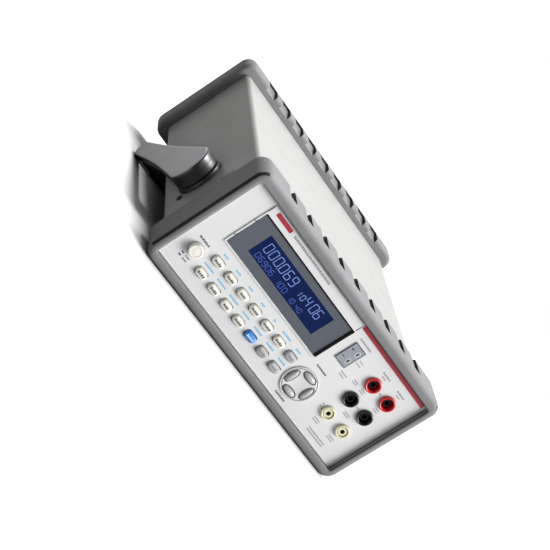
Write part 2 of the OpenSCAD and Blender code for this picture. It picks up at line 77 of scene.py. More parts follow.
class Nodes:
    """Short way to add and link shader nodes."""

    def __init__(self, name):
        self.mat = bpy.data.materials.new(name)
        self.mat.use_nodes = True
        self.tree = self.mat.node_tree
        self.tree.nodes.clear()
        self.out = self.tree.nodes.new("ShaderNodeOutputMaterial")
        self.shader = self.tree.nodes.new("ShaderNodeBsdfPrincipled")
        self.link(self.shader.outputs[0], self.out.inputs["Surface"])
        self.coord = self.tree.nodes.new("ShaderNodeTexCoord").outputs["Object"]

    def link(self, a, b):
        self.tree.links.new(a, b)

    def noise(self, scale, detail=3.0, rough=0.55, stretch=None):
        n = self.tree.nodes.new("ShaderNodeTexNoise")
        n.inputs["Scale"].default_value = scale
        n.inputs["Detail"].default_value = detail
        n.inputs["Roughness"].default_value = rough
        source = self.coord
        if stretch:
            m = self.tree.nodes.new("ShaderNodeMapping")
            m.inputs["Scale"].default_value = stretch
            self.link(self.coord, m.inputs["Vector"])
            source = m.outputs["Vector"]
        self.link(source, n.inputs["Vector"])
        return n.outputs["Fac"]

    def voronoi(self, scale):
        n = self.tree.nodes.new("ShaderNodeTexVoronoi")
        n.inputs["Scale"].default_value = scale
        self.link(self.coord, n.inputs["Vector"])
        return n.outputs["Distance"]

    def ramp(self, fac, stops):
        n = self.tree.nodes.new("ShaderNodeValToRGB")
        while len(n.color_ramp.elements) < len(stops):
            n.color_ramp.elements.new(0.5)
        for e, (pos, col) in zip(n.color_ramp.elements, stops):
            e.position = pos
            e.color = (*col, 1)
        self.link(fac, n.inputs["Fac"])
        return n.outputs["Color"]

    def span(self, fac, lo, hi):
        n = self.tree.nodes.new("ShaderNodeMapRange")
        n.inputs["From Min"].default_value = 0.25
        n.inputs["From Max"].default_value = 0.75
        n.inputs["To Min"].default_value = lo
        n.inputs["To Max"].default_value = hi
        self.link(fac, n.inputs["Value"])
        return n.outputs["Result"]

    def mix(self, fac, a, b):
        n = self.tree.nodes.new("ShaderNodeMix")
        n.data_type = "RGBA"
        self.link(fac, n.inputs["Factor"])
        for value, name in ((a, "A"), (b, "B")):
            socket = [s for s in n.inputs if s.name == name and s.type == "RGBA"][0]
            if isinstance(value, tuple):
                socket.default_value = (*value, 1)
            else:
                self.link(value, socket)
        return [s for s in n.outputs if s.type == "RGBA"][0]

    def bump(self, height, distance, strength=1.0, under=None):
        n = self.tree.nodes.new("ShaderNodeBump")
        n.inputs["Strength"].default_value = strength
        n.inputs["Distance"].default_value = distance * MM
        self.link(height, n.inputs["Height"])
        if under:
            self.link(under, n.inputs["Normal"])
        return n.outputs["Normal"]


def shade(col, k):
    return tuple(min(1.0, c * k) for c in col)


def moulded(name, col, rough, vary, grain=900.0, depth=0.02, spec=0.5, coat=0.0,
            metal=0.0, worn=0.0):
    """Moulded or painted surface: soft tone drift, fine grain and uneven gloss."""
    n = Nodes(name)
    drift = n.noise(14.0, 2.0)
    tone = n.ramp(drift, [(0.3, shade(col, 1 - vary)), (0.7, shade(col, 1 + vary))])
    if worn:
        geo = n.tree.nodes.new("ShaderNodeNewGeometry")
        edge = n.ramp(geo.outputs["Pointiness"], [(0.52, (0, 0, 0)), (0.6, (1, 1, 1))])
        patch = n.noise(60.0, 4.0)
        both = n.tree.nodes.new("ShaderNodeMath")
        both.operation = "MULTIPLY"
        n.link(edge, both.inputs[0])
        n.link(patch, both.inputs[1])
        tone = n.mix(both.outputs[0], tone, shade(col, 1 + worn))
    n.link(tone, n.shader.inputs["Base Color"])
    n.link(n.span(n.noise(45.0, 4.0), rough - 0.06, rough + 0.06), n.shader.inputs["Roughness"])
    n.link(n.bump(n.noise(grain, 2.0), depth), n.shader.inputs["Normal"])
    n.shader.inputs["Specular IOR Level"].default_value = spec
    n.shader.inputs["Metallic"].default_value = metal
    if coat:
        n.shader.inputs["Coat Weight"].default_value = coat
        n.shader.inputs["Coat Roughness"].default_value = 0.12
    return n.mat


def rubber(name, col):
    """Soft elastomer with a pebbled grain."""
    n = Nodes(name)
    drift = n.noise(22.0, 3.0)
    tone = n.ramp(drift, [(0.3, shade(col, 0.92)), (0.7, shade(col, 1.07))])
    dust = n.ramp(n.noise(160.0, 5.0, 0.7), [(0.45, (0, 0, 0)), (0.8, (0.35, 0.35, 0.35))])
    n.link(n.mix(dust, tone, shade(col, 1.25)), n.shader.inputs["Base Color"])
    n.link(n.span(n.noise(90.0, 3.0), 0.5, 0.66), n.shader.inputs["Roughness"])
    cells = n.bump(n.voronoi(1500.0), 0.05, 0.6)
    n.link(n.bump(n.noise(500.0, 3.0), 0.04, 0.8, cells), n.shader.inputs["Normal"])
    n.shader.inputs["Specular IOR Level"].default_value = 0.2
    return n.mat


def metal(name, col, rough, stretch=(1, 1, 1)):
    """Metal with a directional finish."""
    n = Nodes(name)
    lines = n.noise(700.0, 3.0, 0.6, stretch)
    n.link(n.ramp(lines, [(0.2, shade(col, 0.88)), (0.8, shade(col, 1.06))]),
           n.shader.inputs["Base Color"])
    n.link(n.span(lines, rough - 0.07, rough + 0.07), n.shader.inputs["Roughness"])
    n.link(n.bump(lines, 0.01, 0.6), n.shader.inputs["Normal"])
    n.shader.inputs["Metallic"].default_value = 1.0
    return n.mat


def ink(name, col):
    """Screen-printed ink, slightly broken."""
    n = Nodes(name)
    breaks = n.ramp(n.noise(1200.0, 3.0), [(0.2, shade(col, 1.5)), (0.5, col)])
    n.link(breaks, n.shader.inputs["Base Color"])
    n.link(n.span(n.noise(300.0), 0.4, 0.55), n.shader.inputs["Roughness"])
    return n.mat


def glow(name, col, light, strength):
    """Backlit display layer."""
    n = Nodes(name)
    n.link(n.ramp(n.noise(60.0, 2.0), [(0.3, shade(col, 0.9)), (0.7, shade(col, 1.1))]),
           n.shader.inputs["Base Color"])
    n.link(n.ramp(n.noise(35.0, 1.0), [(0.3, shade(light, 0.88)), (0.7, shade(light, 1.08))]),
           n.shader.inputs["Emission Color"])
    n.shader.inputs["Emission Strength"].default_value = strength
    n.link(n.span(n.noise(200.0), 0.18, 0.26), n.shader.inputs["Roughness"])
    n.shader.inputs["Specular IOR Level"].default_value = 0.15
    return n.mat


def laminate(name, col):
    """Circuit board: green solder mask over faint copper areas."""
    n = Nodes(name)
    copper = n.ramp(n.voronoi(110.0), [(0.35, shade(col, 1.35)), (0.4, col)])
    n.link(n.mix(n.noise(40.0), copper, shade(col, 0.8)), n.shader.inputs["Base Color"])
    n.link(n.span(n.noise(150.0), 0.3, 0.45), n.shader.inputs["Roughness"])
    return n.mat


def winding(name, col):
    """Enamelled wire: fine turns side by side."""
    n = Nodes(name)
    wave = n.tree.nodes.new("ShaderNodeTexWave")
    wave.bands_direction = "Z"
    wave.inputs["Scale"].default_value = 300.0
    wave.inputs["Distortion"].default_value = 0.4
    n.link(n.coord, wave.inputs["Vector"])
    n.link(n.ramp(wave.outputs["Fac"], [(0.1, shade(col, 0.45)), (0.6, col)]),
           n.shader.inputs["Base Color"])
    n.link(n.bump(wave.outputs["Fac"], 0.15), n.shader.inputs["Normal"])
    n.link(n.span(n.noise(80.0), 0.3, 0.42), n.shader.inputs["Roughness"])
    n.shader.inputs["Metallic"].default_value = 0.7
    return n.mat


PAINT = {
    "case_plastic": moulded("case_paint", (0.302, 0.302, 0.294), 0.42, 0.03, 700.0, 0.03,
                            worn=0.1),
    "bumper_rubber": rubber("bumper_rubber", (0.188, 0.188, 0.193)),
    "panel_plastic": moulded("panel_plastic", (0.63, 0.63, 0.635), 0.42, 0.02, 1100.0, 0.012),
    "window_tint": moulded("window_tint", (0.068, 0.078, 0.099), 0.2, 0.04, 300.0, 0.003,
                           coat=0.6),
    "display_blue": glow("display_blue", (0.0, 0.004, 0.02), (0.0, 0.011, 0.085), 0.6),
    "accent_red": moulded("accent_red", (0.35, 0.012, 0.03), 0.32, 0.06, coat=0.3),
    "silicone_grey": rubber("silicone_grey", (0.4, 0.42, 0.44)),
    "pad_silver": moulded("pad_silver", (0.58, 0.58, 0.58), 0.33, 0.03, spec=0.6),
    "key_cream": moulded("key_cream", (0.7, 0.69, 0.63), 0.36, 0.03, 1300.0, 0.008, worn=0.08),
    "key_grey": moulded("key_grey", (0.38, 0.38, 0.385), 0.3, 0.05, 1300.0, 0.008, worn=0.3),
    "key_blue": moulded("key_blue", (0.02, 0.185, 0.5), 0.28, 0.05, 1300.0, 0.006, coat=0.4),
    "terminal_red": moulded("terminal_red", (0.56, 0.012, 0.02), 0.2, 0.06, 500.0, 0.004,
                            coat=0.7),
    "terminal_black": moulded("terminal_black", (0.005, 0.005, 0.006), 0.2, 0.15, 500.0, 0.004,
                              coat=0.25),
    "terminal_cream": moulded("terminal_cream", (0.68, 0.64, 0.44), 0.24, 0.04, 500.0, 0.004,
                              coat=0.5),
    "contact_brass": metal("contact_brass", (0.72, 0.52, 0.22), 0.25),
    "socket_grey": moulded("socket_grey", (0.24, 0.265, 0.3), 0.45, 0.04),
    "chassis_aluminium": metal("chassis_aluminium", (0.7, 0.71, 0.72), 0.4, (1, 12, 1)),
    "circuit_board": laminate("circuit_board", (0.02, 0.16, 0.05)),
    "core_steel": metal("core_steel", (0.26, 0.26, 0.28), 0.5, (1, 1, 14)),
    "coil_copper": winding("coil_copper", (0.62, 0.3, 0.09)),
    "rear_aluminium": moulded("rear_paint", (0.36, 0.36, 0.35), 0.48, 0.04, 800.0, 0.03),
    "inlet_black": moulded("inlet_black", (0.02, 0.02, 0.022), 0.42, 0.12),
    "plated_metal": metal("plated_metal", (0.66, 0.66, 0.65), 0.22),
    "screw_steel": metal("screw_steel", (0.6, 0.6, 0.62), 0.3, (6, 1, 1)),
    "handle_dark": moulded("handle_dark", (0.115, 0.115, 0.12), 0.38, 0.05, 650.0, 0.02,
                           metal=0.8, worn=0.1),
    "handle_silver": moulded("handle_silver", (0.52, 0.52, 0.545), 0.38, 0.05, 650.0, 0.02,
                             spec=0.6, worn=0.15),
    "fuse_glass": moulded("fuse_glass", (0.6, 0.64, 0.66), 0.12, 0.05, 200.0, 0.002),
}
BLACK_INK = ink("black_ink", (0.03, 0.03, 0.035))
GREY_INK = ink("grey_ink", (0.2, 0.2, 0.21))
BLUE_INK = ink("blue_ink", (0.1, 0.36, 0.56))
PALE_INK = ink("white_ink", (0.46, 0.6, 0.82))
LIT = glow("lit_segments", (0.1, 0.14, 0.26), (0.1, 0.17, 0.46), 1.0)
DIM = glow("dim_segments", (0.04, 0.06, 0.2), (0.04, 0.07, 0.34), 0.8)
# Painted shade: a near-black copy of the rubber for bands on the front bumper's rolled face.
ROLL_SHADE_PAINT = rubber("bumper_roll_painted_shade", (0.022, 0.022, 0.023))
# Painted shade: black for the lines round the display window and for the floors of the pad's key wells.
SHADE_BLACK = moulded("painted_shade_black", (0.004, 0.004, 0.005), 0.8, 0.2, spec=0.1)
# Painted shadow: a near-black copy of the rubber for the walls and closed ends of the bumpers' grooves.
GROOVE_SHADE_PAINT = rubber("groove_shadow_rubber", (0.02, 0.02, 0.021))
# Painted shade: darker copies of the terminal colours for the deep spans of their wells.
WELL_SHADE_PAINT = {"terminal_red": moulded("terminal_red_shade", (0.03, 0.002, 0.003), 0.35, 0.1),
        "terminal_black": moulded("terminal_black_shade", (0.003, 0.003, 0.003), 0.4, 0.1),
        "terminal_cream": moulded("terminal_cream_shade", (0.045, 0.035, 0.025), 0.4, 0.1)}

slot_of = {p["node"]: p["material_slot"] for p in frame["record"]["subparts"]}
for node, obj in nodes.items():
    obj.data.materials.clear()
    obj.data.materials.append(PAINT[slot_of[node]])


# ---- Mesh making ----


class Shape:
    """Vertices and faces of one piece, in millimetres in the unit's own frame."""

    def __init__(self):
        self.verts, self.faces, self.marks = [], [], []

    def rings(self, rings, mark=0, loop=False):
        """Skin over rings of equally many points: capped at both ends, or closed in a loop.

        mark is one material index, or a list with one for each span between two rings.
        """
        n, base = len(rings[0]), len(self.verts)
        for ring in rings:
            self.verts.extend(tuple(p) for p in ring)
        spans = len(rings) if loop else len(rings) - 1
        marks = mark if isinstance(mark, list) else [mark] * spans
        for k in range(spans):
            a = base + k * n
            b = base + (k + 1) % len(rings) * n
            for i in range(n):
                j = (i + 1) % n
                self.faces.append((a + i, a + j, b + j, b + i))
                self.marks.append(marks[k])
        if not loop:
            last = base + (len(rings) - 1) * n
            self.faces.append(tuple(range(base + n - 1, base - 1, -1)))
            self.faces.append(tuple(range(last, last + n)))
            self.marks.extend((marks[0], marks[-1]))
        return self

    def box(self, x0, x1, y0, y1, z0, z1):
        """Adds a plain block."""
        ring = [(x0, z0), (x1, z0), (x1, z1), (x0, z1)]
        self.rings([[(x, y, z) for x, z in ring] for y in (y1, y0)])


def quarter(n, first=0):
    """Pairs (1 - sine, 1 - cosine) at n steps over a quarter turn, from the step first on."""
    angles = [math.pi / 2 * i / n for i in range(first, n + 1)]
    return [(1 - math.sin(a), 1 - math.cos(a)) for a in angles]


def rect(w, h, r, n):
    """Outline of a rectangle with round corners, as (across, up) about its middle."""
    r = max(0.02, min(r, w / 2, h / 2))
    points = []
    for k, (sx, sz) in enumerate(((1, 1), (-1, 1), (-1, -1), (1, -1))):
        for i in range(n + 1):
            a = math.radians(90 * k + 90 * i / n)
            points.append((sx * (w / 2 - r) + r * math.cos(a), sz * (h / 2 - r) + r * math.sin(a)))
    return points


def plate_rings(x, z, w, h, r, steps, n=6):
    """Rings of a block with round corners for the steps (y, inset)."""
    return [
        [(x + a, y, z + b) for a, b in rect(w - 2 * i, h - 2 * i, max(r - i, 0.05), n)]
        for y, i in steps
    ]


def rolled(y_back, y_front, r, n):
    """Steps (y, inset) from the back to a front edge that is rolled over with radius r."""
    return [(y_back, 0.0)] + [(y_front + r * back, r * inwards) for back, inwards in quarter(n)]


def lathe_y(x, z, profile, n=48):
    """Rings round an axis along Y for the profile (radius, y)."""
    return [
        [(x + r * math.cos(2 * math.pi * i / n), y, z + r * math.sin(2 * math.pi * i / n))
         for i in range(n)]
        for r, y in profile
    ]


def lathe_x(y, z, profile, n):
    """Rings round an axis along X for the profile (radius, x)."""
    return [
        [(x, y + r * math.cos(2 * math.pi * i / n), z + r * math.sin(2 * math.pi * i / n))
         for i in range(n)]
        for r, x in profile
    ]


def to_object(name, shape, materials):
    """Object in the scene for a shape, with its faces turned outwards."""
    mesh = bpy.data.meshes.new(name)
    mesh.from_pydata(shape.verts, [], shape.faces)
    for m in materials:
        mesh.materials.append(m)
    for poly, mark in zip(mesh.polygons, shape.marks):
        poly.material_index = mark
    mesh.transform(UNIT)
    bm = bmesh.new()
    bm.from_mesh(mesh)
    bmesh.ops.recalc_face_normals(bm, faces=bm.faces)
    bm.to_mesh(mesh)
    bm.free()
    obj = bpy.data.objects.new(name, mesh)
    bpy.context.scene.collection.objects.link(obj)
    return obj


def baked(obj):
    """Puts the object's modifiers into its mesh."""
    dg = bpy.context.evaluated_depsgraph_get()
    mesh = bpy.data.meshes.new_from_object(obj.evaluated_get(dg), depsgraph=dg)
    obj.modifiers.clear()
    obj.data = mesh


def piece(name, shape, materials, body="root", replaces=(), cuts=(), bevel=0.0,
          steps=2, angle=32.0):
    """One visible piece: cut, bevelled, smooth-shaded and riding on its body."""
    obj = to_object(name, shape, materials)
    for i, cut in enumerate(cuts):
        tool = to_object(f"{name}_cut{i}", cut, materials[:1])
        mod = obj.modifiers.new("cut", "BOOLEAN")
        mod.operation = "DIFFERENCE"
        mod.solver = "EXACT"
        mod.object = tool
        baked(obj)
        bpy.data.objects.remove(tool)
    if bevel:
        mod = obj.modifiers.new("bevel", "BEVEL")
        mod.width = bevel * MM
        mod.segments = steps
        mod.limit_method = "ANGLE"
        mod.angle_limit = math.radians(angle)
        mod.use_clamp_overlap = True
        mod.loop_slide = True
        baked(obj)
    mesh = obj.data
    mesh.polygons.foreach_set("use_smooth", [True] * len(mesh.polygons))
    mesh.set_sharp_from_angle(angle=math.radians(angle + 8))
    mod = obj.modifiers.new("weights", "WEIGHTED_NORMAL")
    mod.keep_sharp = True
    mod.weight = 60
    baked(obj)
    obj.name = name
    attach(obj, body)
    if replaces:
        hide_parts(*replaces)
    return obj


# ---- Case and bumpers ----

CASE_W, CASE_H, CASE_CORNER = 220.0, 88.0, 4
BUMPER_W, BUMPER_H, BUMPER_CORNER = 236.0, 107.0, 10
MOUTH_ROLL, FACE_ROLL, FREE_ROLL = 1.8, 4.6, 4.2
MID = BUMPER_H / 2
GROOVES = [(i - 4) * 20.8 for i in range(9)]


def bumper(name, face, free, width, deep_end, closed_end, floor_end, lip, replaces):
    """Soft ring with rolled edges and open grooves along its top and its underside.

    It reaches from Y = face to its free edge on the case. Each groove is width across, is open
    at the free edge and ends at Y = closed_end. deep_end and floor_end are the heights of its
    floor there. lip is how far the opening at the face runs past the case at each side and below.
    """
    s = 1 if free > face else -1
    depth = abs(free - face)

    def ring(w, h, r, t, drop=0.0):
        return [(a, face + s * t, MID - drop + b) for a, b in rect(w, h, r, 10)]

    def outer(o, t):
        return ring(BUMPER_W - 2 * o, BUMPER_H - 2 * o, BUMPER_CORNER - o, t)

    def mouth(o, t):
        return ring(CASE_W + 2 * lip + 2 * o, CASE_H + lip + 2 * o, CASE_CORNER - 1.5 * lip + o,
                    t, lip / 2)

    rings = [ring(CASE_W, CASE_H, CASE_CORNER, t) for t in (depth, 6.2)] + [mouth(0, 5.9)]
    rings += [mouth(MOUTH_ROLL * wider, MOUTH_ROLL * t) for t, wider in quarter(4)]
    rings += [outer(FACE_ROLL * o, FACE_ROLL * t) for o, t in quarter(7)]
    rings += [outer(FREE_ROLL * o, depth - FREE_ROLL * t) for t, o in quarter(6)]
    body = Shape().rings(rings, loop=True)

    cut = Shape()
    for side in (1, -1):
        for x in GROOVES:
            rows = []
            for y, z in ((free + s * 2.0, deep_end), (free, deep_end), (closed_end, floor_end)):
                rows.append([(x + a, y, MID + side * (b - MID)) for a, b in (
                    (-width / 2, z), (width / 2, z), (width / 2, BUMPER_H + 3),
                    (-width / 2, BUMPER_H + 3))])
            cut.rings(rows)
    obj = piece(name, body, [PAINT["bumper_rubber"], GROOVE_SHADE_PAINT, ROLL_SHADE_PAINT],
                replaces=replaces, cuts=[cut], bevel=0.8, steps=3, angle=38)
    back = UNIT.inverted()
    level = UNIT.to_3x3().normalized().transposed()
    for poly in obj.data.polygons:
        c = back @ poly.center
        n = level @ poly.normal
        # Groove walls and closed ends get the near-black rubber as painted shadow.
        in_groove = CASE_H / 2 + 2.5 < abs(c.z - MID) < BUMPER_H / 2 - 0.75
        from_groove = abs(min((c.x - g for g in GROOVES), key=abs))
        groove_side = abs(from_groove - width / 2) < 0.08 and abs(n.x) > 0.97
        groove_end = abs(c.y - closed_end) < 0.3 and abs(n.y) > 0.9
        # The face's roll gets the dark rubber as painted shade, in bands up the sides and along the underside.
        on_roll = 0.1 < c.y < FACE_ROLL - 0.1
        side_shade_band = (abs(c.x) > BUMPER_W / 2 - 11 and c.z > MID - BUMPER_H / 2 + 9
                     and abs(n.x) > 0.55 * abs(n.z) and 0.6 < math.hypot(n.x, n.z) < 0.97)
        low_shade_band = abs(c.x) < BUMPER_W / 2 - 9 and n.z < -0.6
        if in_groove and (groove_side or groove_end):
            poly.material_index = 1
        elif on_roll and (side_shade_band or low_shade_band):
            poly.material_index = 2


bumper("front_bumper_soft", face=0.0, free=39.0, width=7.6, deep_end=102.4, closed_end=11.0,
       floor_end=102.4, lip=1.2, replaces=["front_bumper"])
bumper("rear_bumper_soft", face=305.0, free=280.4, width=12.3, deep_end=102.4, closed_end=298.0,
       floor_end=104.8, lip=0.0, replaces=["rear_bumper"])

y0, y1 = 12.0, 293.0
wall, edge = 1.6, 0.3
shell = Shape().rings(
    plate_rings(0, MID, CASE_W, CASE_H, CASE_CORNER,
                [(y0 + edge, edge), (y0, wall - edge), (y0 + edge, wall), (y1 - edge, wall),
                 (y1, wall - edge), (y1, edge), (y1 - edge, 0)], 8), loop=True)
piece("case_shell", shell, [PAINT["case_plastic"]], replaces=["case_sleeve"])

# ---- Front panel ----

FACE = 5.0
WINDOW = (-32.4, 69.6, 112.6, 35.6)
KEY_X = [-78.2 + 15.45 * i for i in range(7)]
KEY_Z = {"upper": 37.8, "lower": 23.0}
KEY_W, KEY_H, KEY_CORNER, KEY_FRONT = 10.6, 6.6, 2.6, 2.0
KEY_CROWN, KEY_ROLL, KEY_DRAFT = 0.3, 1.3, 0.2
PAD = (37.3, 30.4)
POWER = (-95.4, 30.5)
JACK_X = (70.3, 89.8)
JACKS = {
    "jack_sense_hi": (JACK_X[0], 74.8, "terminal_red"),
    "jack_sense_lo": (JACK_X[0], 54.7, "terminal_black"),
    "jack_input_hi": (JACK_X[1], 74.8, "terminal_red"),
    "jack_input_lo": (JACK_X[1], 54.7, "terminal_black"),
    "jack_current_low": (JACK_X[0], 34.6, "terminal_cream"),
    "jack_current_high": (JACK_X[1], 34.6, "terminal_cream"),
}
JACK_R = {"terminal_red": 6.55, "terminal_black": 6.55, "terminal_cream": 5.85}
TC = (39.2, 74.4, 12.4, 19.6)

PANEL_W, PANEL_LOW, PANEL_HIGH, PANEL_ROLL = 222.0, 8.5, 97.4, 0.7


def panel_ring(y, inset):
    """Outline of the panel at the depth y, drawn in by inset."""
    w, h = PANEL_W - 2 * inset, PANEL_HIGH - PANEL_LOW - 2 * inset
    r = max(1.8 - inset * 0.3, 0.6)
    return [(a, y, (PANEL_LOW + PANEL_HIGH) / 2 + b) for a, b in rect(w, h, r, 8)]


panel_steps = [panel_ring(y, inset) for y, inset in (
    (7.5, 3.5), (12.0, 3.5), (12.0, 1.3), (5.8, 1.3), (5.75, 0))]
panel_steps += [panel_ring(FACE + PANEL_ROLL * y, PANEL_ROLL * k) for y, k in quarter(8)]
panel = Shape().rings(panel_steps)
holes = Shape()
through = [(FACE + 4, 0), (FACE - 1, 0)]
for x in KEY_X:
    for z in KEY_Z.values():
        holes.rings(plate_rings(x, z, KEY_W + 0.7, KEY_H + 0.7, 2.4, through))
holes.rings(plate_rings(*WINDOW, 1, through))
round_holes = [(*PAD, 13.0), (*POWER, 6.05)]
round_holes += [(x, z, JACK_R[slot] + 0.06) for x, z, slot in JACKS.values()]
for x, z, r in round_holes:
    holes.rings(lathe_y(x, z, [(r, FACE + 4), (r, FACE - 1)]))
holes.rings(plate_rings(TC[0], TC[1], TC[2] + 0.2, TC[3] + 0.2, 0.4, through))
piece("front_panel", panel, [PAINT["panel_plastic"]],
      replaces=["front_bezel"], cuts=[holes], bevel=0.3)

# The panel's raised rim, seen below and at its left end.
rim = Shape()
rim.box(-110.8, 110.8, 4.35, 5.2, 8.6, 9.3)
rim.box(-110.9, -110.3, 4.35, 5.2, 9.1, 95.0)
piece("panel_rim", rim, [PAINT["panel_plastic"]], bevel=0.25)

lo, hi = unit_box("display_surround")
surround = Shape().rings(plate_rings((lo.x + hi.x) / 2, (lo.z + hi.z) / 2, hi.x - lo.x,
                                     hi.z - lo.z, 1.2, rolled(FACE + 0.05, lo.y, 0.35, 3)))
opening = Shape().rings(plate_rings(WINDOW[0] + 1.4, WINDOW[1], WINDOW[2] + 2.8, WINDOW[3], 1.0,
                                    [(FACE + 2, 0), (FACE - 3, 0)]))
piece("display_frame", surround, [PAINT["panel_plastic"]],
      replaces=["display_surround"], cuts=[opening], bevel=0.2)

LCD = (-32.4, 70.0, 81.0, 20.0)
LCD_FRONT = 5.9
pane = Shape().rings(plate_rings(WINDOW[0], WINDOW[1], WINDOW[2] - 0.1, WINDOW[3] - 0.1, 1,
                                 rolled(7.3, 5.5, 0.15, 2)))
port = Shape().rings(plate_rings(LCD[0], LCD[1], LCD[2] + 0.2, LCD[3] + 0.2, 0.3,
                                 [(8, 0), (5, 0)]))
piece("display_pane", pane, [PAINT["window_tint"]],
      replaces=["display_window"], cuts=[port], bevel=0.1)

module = Shape().rings(plate_rings(*LCD, 0.4, rolled(8.9, LCD_FRONT, 0.1, 1)))
module.rings(plate_rings(LCD[0], LCD[1], 91, 30, 1, [(12, 0), (8.9, 0)]))
piece("display_screen", module, [PAINT["display_blue"]],
      replaces=["display_module"])

# Painted shadow: black lines round the window, in the notches and at the ends of the display surround, where its
# steps throw shade.
window_shade = Shape()
wx0, wx1 = WINDOW[0] - WINDOW[2] / 2, WINDOW[0] + WINDOW[2] / 2
wz0, wz1 = WINDOW[1] - WINDOW[3] / 2, WINDOW[1] + WINDOW[3] / 2
window_shade.box(wx1 - 0.7, wx1 + 1.35, 4.35, 5.6, wz0 + 0.5, wz1 - 0.05)
window_shade.box(wx0 + 0.1, wx1 - 0.7, 4.5, 5.6, wz1 - 1.15, wz1 - 0.05)
window_shade.box(wx0 + 0.05, wx0 + 0.45, 4.9, 5.6, wz0 + 0.1, wz1 - 1.1)
for z in (59.6, 77.4):
    window_shade.box(wx0 - 1.4, wx0 + 0.3, 3.98, 5.5, z - 0.3, z + 0.3)
    window_shade.box(wx0 - 0.2, wx0 + 0.3, 3.98, 5.5, z + 0.3, z + 2.2)
window_shade.box(wx0 - 1.2, wx0 - 0.8, 3.98, 5.0, wz1 + 1.2, wz1 + 7.6)
window_shade.box(wx1 + 0.2, wx1 + 0.8, 3.98, 5.0, wz1 + 1.0, wz1 + 8.2)
piece("window_shade_lines", window_shade, [SHADE_BLACK], bevel=0.12)

lo, hi = unit_box("accent_strip")
top = PANEL_HIGH - 0.5
strip = Shape().rings(plate_rings((lo.x + hi.x) / 2, (lo.z + top) / 2, hi.x - lo.x, top - lo.z,
                                  0.5, rolled(FACE + 0.05, lo.y, 0.25, 3)))
piece("accent_inlay", strip, [PAINT["accent_red"]], replaces=["accent_strip"])

badge = Shape().rings(plate_rings(-75.8, 93.3, 17.4, 3.6, 0.5, rolled(4.15, 3.9, 0.15, 2)))
piece("blank_badge", badge, [PAINT["accent_red"]])

# ---- Keys ----


def key_shape(x, z):
    """Cap with a slight draft, a rolled rim and a crowned top, and the flange behind it."""
    steps = [(9.0, -0.9), (8.0, -0.9), (8.0, 0.0)]
    steps += [(KEY_FRONT + KEY_CROWN + KEY_ROLL * y, KEY_DRAFT + KEY_ROLL * k)
              for y, k in quarter(4)]
    rim_end, top_half = KEY_ROLL + KEY_DRAFT, KEY_H / 2 - KEY_ROLL
    steps.append((KEY_FRONT + KEY_CROWN * 0.35, rim_end + top_half * 0.4))
    steps.append((KEY_FRONT, rim_end + top_half * 0.75))
    return Shape().rings(plate_rings(x, z, KEY_W, KEY_H, KEY_CORNER, steps, 7))


for row, z in KEY_Z.items():
    for i, x in enumerate(KEY_X):
        node = f"{row}_key_{i + 1}"
        slot = slot_of[node]
        piece(f"{node}_cap", key_shape(x, z), [PAINT[slot]], node, [node])

# ---- Four-way pad ----

PAD_REACH = 9.4


def lens(x, y, z, half_long, half_short, flat):
    """Ring of a lens outline, with its long axis across when flat and upright otherwise."""
    n = 14
    points = []
    for k in (1, -1):
        for i in range(n):
            a = math.pi * i / n
            u = half_long * math.cos(a) * k
            v = half_short * math.sin(a) ** 0.85 * k
            points.append((x + u, y, z + v) if flat else (x - v, y, z + u))
    return points


pad_ring = Shape().rings(lathe_y(*PAD, [
    (13.0, 7.4), (13.0, FACE), (14.6, FACE - 0.02), (14.6, 4.2), (14.4, 3.85), (14.0, 3.8),
    (13.75, 4.0), (13.6, 4.6), (13.3, 4.6), (13.15, 4.0), (12.8, 3.7), (10.5, 3.75), (7.0, 4.05),
    (3.5, 4.2), (1.0, 4.25)], 72))
wells, well_shade_floors = Shape(), Shape()
for turns, node in enumerate(("nav_key_up", "nav_key_left", "nav_key_down", "nav_key_right")):
    a = math.radians(90 * turns)
    kx, kz = PAD[0] - PAD_REACH * math.sin(a), PAD[1] + PAD_REACH * math.cos(a)
    flat = turns % 2 == 0
    wells.rings([lens(kx, y, kz, 7.0, 3.45, flat) for y in (9, 3)])
    well_shade_floors.rings([lens(kx, y, kz, 7.2, 3.6, flat) for y in (7.3, 5.0)])
    dome = [(8.0, 1.0), (4.4, 1.0), (3.7, 0.97), (3.1, 0.88), (2.6, 0.72), (2.25, 0.52),
            (2.06, 0.3), (2.0, 0.1)]
    cap = Shape().rings([lens(kx, y, kz, 6.2 * k, 2.6 * k, flat) for y, k in dome])
    piece(f"{node}_cap", cap, [PAINT["key_grey"]], node, [node])
piece("nav_pad", pad_ring, [PAINT["pad_silver"]], replaces=["nav_ring"],
      cuts=[wells], bevel=0.2)
# Painted shade: black floors behind the wells for the shadow in the gaps round the keys.
piece("pad_well_shade", well_shade_floors, [SHADE_BLACK])

# ---- Power button ----

lo, hi = unit_box("power_button")
cap_y, cap_r = lo.y + 1.3, 5.7
knob = [(2.5, hi.y), (2.5, 8.6), (cap_r, 8.5), (cap_r, cap_y + 1.6)]
knob += [(cap_r - 1.2 * k, cap_y + 1.5 * y) for y, k in quarter(5, 1)]
knob += [(4.1, cap_y + 0.05), (3.8, cap_y + 0.3), (1.5, cap_y + 0.08), (0.4, cap_y + 0.05)]
piece("power_cap", Shape().rings(lathe_y(*POWER, knob)), [PAINT["key_cream"]],
      "power_button", ["power_button"])
